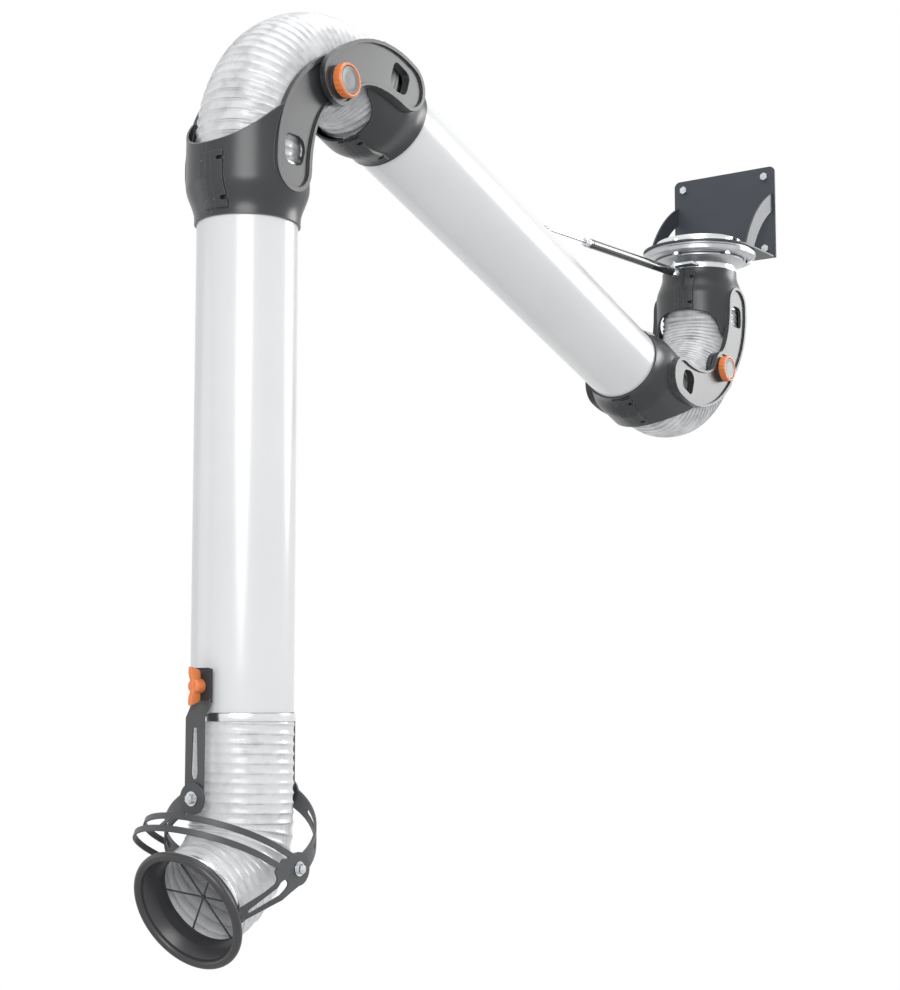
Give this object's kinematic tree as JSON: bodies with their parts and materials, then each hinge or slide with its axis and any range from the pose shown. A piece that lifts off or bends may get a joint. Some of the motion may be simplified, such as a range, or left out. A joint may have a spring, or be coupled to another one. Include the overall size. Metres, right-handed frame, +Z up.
{
  "type": "fume extraction arm",
  "caption": "Wall-mounted fume extraction arm: swivel bracket, two white duct tubes joined by forked elbows under ribbed hoses, gas spring, and a gimballed hood with a handle.",
  "frame": {"origin": "centre of the wall plate's back face, which lies on the wall", "axes": "+X to the right as seen from the room, +Y into the wall, so that the arm reaches along -Y, +Z up"},
  "size_m": [0.26, 1.9337, 1.6338],
  "materials": {
    "bracket_paint": "satin powder coat, blue grey",
    "zinc_bolts": "bright zinc plate",
    "cast_flange": "cast and turned, grey",
    "slide_ring": "natural slide plastic",
    "spring_fittings": "zinc plate",
    "fork_plastic": "satin, dark grey, moulded",
    "black_screws": "blackened",
    "clamp_steel": "bright stainless band",
    "hose_film": "translucent white film on wire",
    "tube_paint": "gloss white paint on thin aluminium tube",
    "friction_lining": "grey friction lining",
    "hood_straps": "dark grey powder coat",
    "pad_rubber": "black, matte",
    "orange_plastic": "satin orange",
    "cap_plastic": "satin grey",
    "nozzle_plastic": "satin dark grey",
    "guard_wire": "grey coated wire",
    "spring_black": "gloss black paint",
    "rod_chrome": "hard chrome"
  },
  "bodies": {
    "wall_bracket": {"wall_plate": "bracket_paint", "bracket_shelf": "bracket_paint", "bracket_gussets": "bracket_paint", "wall_bolts": "zinc_bolts", "duct_collar": "cast_flange", "fixed_flange": "cast_flange", "flange_bolts": "zinc_bolts", "swivel_bearing": "slide_ring"},
    "swivel": {"swivel_neck": "cast_flange", "neck_collar": "cast_flange", "spring_lug": "spring_fittings", "neck_fork_left": "fork_plastic", "neck_fork_right": "fork_plastic", "neck_fork_screws": "black_screws", "neck_hose_clamp": "clamp_steel", "shoulder_hose": "hose_film"},
    "upper_arm": {"upper_tube": "tube_paint", "shoulder_fork_left": "fork_plastic", "shoulder_fork_right": "fork_plastic", "elbow_fork_left": "fork_plastic", "elbow_fork_right": "fork_plastic", "upper_fork_screws": "black_screws", "pivot_bolts": "zinc_bolts", "friction_discs": "friction_lining", "upper_hose_clamps": "clamp_steel", "spring_anchor": "spring_fittings"},
    "lower_arm": {"lower_tube": "tube_paint", "lower_fork_left": "fork_plastic", "lower_fork_right": "fork_plastic", "lower_fork_screws": "black_screws", "lower_hose_clamp": "clamp_steel", "hood_hose_clamp": "clamp_steel", "hose_spigot": "clamp_steel", "hanger_front": "hood_straps", "hanger_rear": "hood_straps", "hanger_pads": "pad_rubber", "hanger_studs": "zinc_bolts", "elbow_hose": "hose_film", "hood_hose": "hose_film"},
    "shoulder_knob_l": {"shoulder_knob_left": "orange_plastic", "shoulder_cap_left": "cap_plastic"},
    "shoulder_knob_r": {"shoulder_knob_right": "orange_plastic", "shoulder_cap_right": "cap_plastic"},
    "elbow_knob_l": {"elbow_knob_left": "orange_plastic", "elbow_cap_left": "cap_plastic"},
    "elbow_knob_r": {"elbow_knob_right": "orange_plastic", "elbow_cap_right": "cap_plastic"},
    "wing_knob_f": {"wing_knob_front": "orange_plastic"},
    "wing_knob_b": {"wing_knob_rear": "orange_plastic"},
    "gimbal": {"gimbal_link_left": "hood_straps", "gimbal_link_right": "hood_straps", "gimbal_bolts": "zinc_bolts"},
    "hood": {"hood_yoke": "hood_straps", "hood_nozzle": "nozzle_plastic", "wire_guard": "guard_wire", "yoke_bolts": "zinc_bolts", "yoke_rivets": "zinc_bolts", "nozzle_hose_clamp": "clamp_steel"},
    "gas_spring_cylinder": {"spring_cylinder": "spring_black"},
    "gas_spring_rod": {"spring_rod": "rod_chrome"}
  },
  "joints": [
    {"name": "swivel_turn", "type": "hinge", "parent": "wall_bracket", "child": "swivel", "pos_m": [0, -0.137, -0.15], "axis": [0, 0, 1], "range_deg": [-90, 90]},
    {"name": "shoulder_lift", "type": "hinge", "parent": "swivel", "child": "upper_arm", "pos_m": [0, -0.241, -0.4035], "axis": [-1, 0, 0], "range_deg": [-35, 22], "deforming": ["shoulder_hose"]},
    {"name": "elbow_bend", "type": "hinge", "parent": "upper_arm", "child": "lower_arm", "pos_m": [0, -1.60375, -0.13649], "axis": [-1, 0, 0], "range_deg": [-60, 100], "deforming": ["elbow_hose"]},
    {"name": "hood_swing", "type": "hinge", "parent": "lower_arm", "child": "gimbal", "pos_m": [0, -1.70775, -1.27349], "axis": [0, 1, 0], "range_deg": [-35, 35], "deforming": ["hood_hose"]},
    {"name": "hood_tilt", "type": "hinge", "parent": "gimbal", "child": "hood", "pos_m": [0, -1.70775, -1.37849], "axis": [-1, 0, 0], "range_deg": [-123, 11], "deforming": ["hood_hose"]},
    {"name": "shoulder_knob_l_turn", "type": "hinge", "parent": "upper_arm", "child": "shoulder_knob_l", "pos_m": [0, -0.241, -0.4035], "axis": [-1, 0, 0], "range_deg": [-180, 180]},
    {"name": "shoulder_knob_r_turn", "type": "hinge", "parent": "upper_arm", "child": "shoulder_knob_r", "pos_m": [0, -0.241, -0.4035], "axis": [1, 0, 0], "range_deg": [-180, 180]},
    {"name": "elbow_knob_l_turn", "type": "hinge", "parent": "upper_arm", "child": "elbow_knob_l", "pos_m": [0, -1.60375, -0.13649], "axis": [-1, 0, 0], "range_deg": [-180, 180]},
    {"name": "elbow_knob_r_turn", "type": "hinge", "parent": "upper_arm", "child": "elbow_knob_r", "pos_m": [0, -1.60375, -0.13649], "axis": [1, 0, 0], "range_deg": [-180, 180]},
    {"name": "wing_knob_f_turn", "type": "hinge", "parent": "lower_arm", "child": "wing_knob_f", "pos_m": [0, -1.70775, -1.10649], "axis": [0, -1, 0], "range_deg": [-180, 180]},
    {"name": "wing_knob_b_turn", "type": "hinge", "parent": "lower_arm", "child": "wing_knob_b", "pos_m": [0, -1.70775, -1.10649], "axis": [0, 1, 0], "range_deg": [-180, 180]},
    {"name": "spring_hinge", "type": "hinge", "parent": "swivel", "child": "gas_spring_cylinder", "pos_m": [0, -0.253, -0.176], "axis": [-1, 0, 0], "range_deg": [-33.3, 21]},
    {"name": "rod_slide", "type": "slide", "parent": "gas_spring_cylinder", "child": "gas_spring_rod", "axis": [0, -0.9996, -0.0292], "range_m": [-0.0952, 0.1515]}
  ],
  "couplings": [
    {"joint": "spring_hinge", "follows": "shoulder_lift", "ratio": 0.949},
    {"joint": "rod_slide", "follows": "shoulder_lift", "m_per_rad": -0.2476}
  ]
}
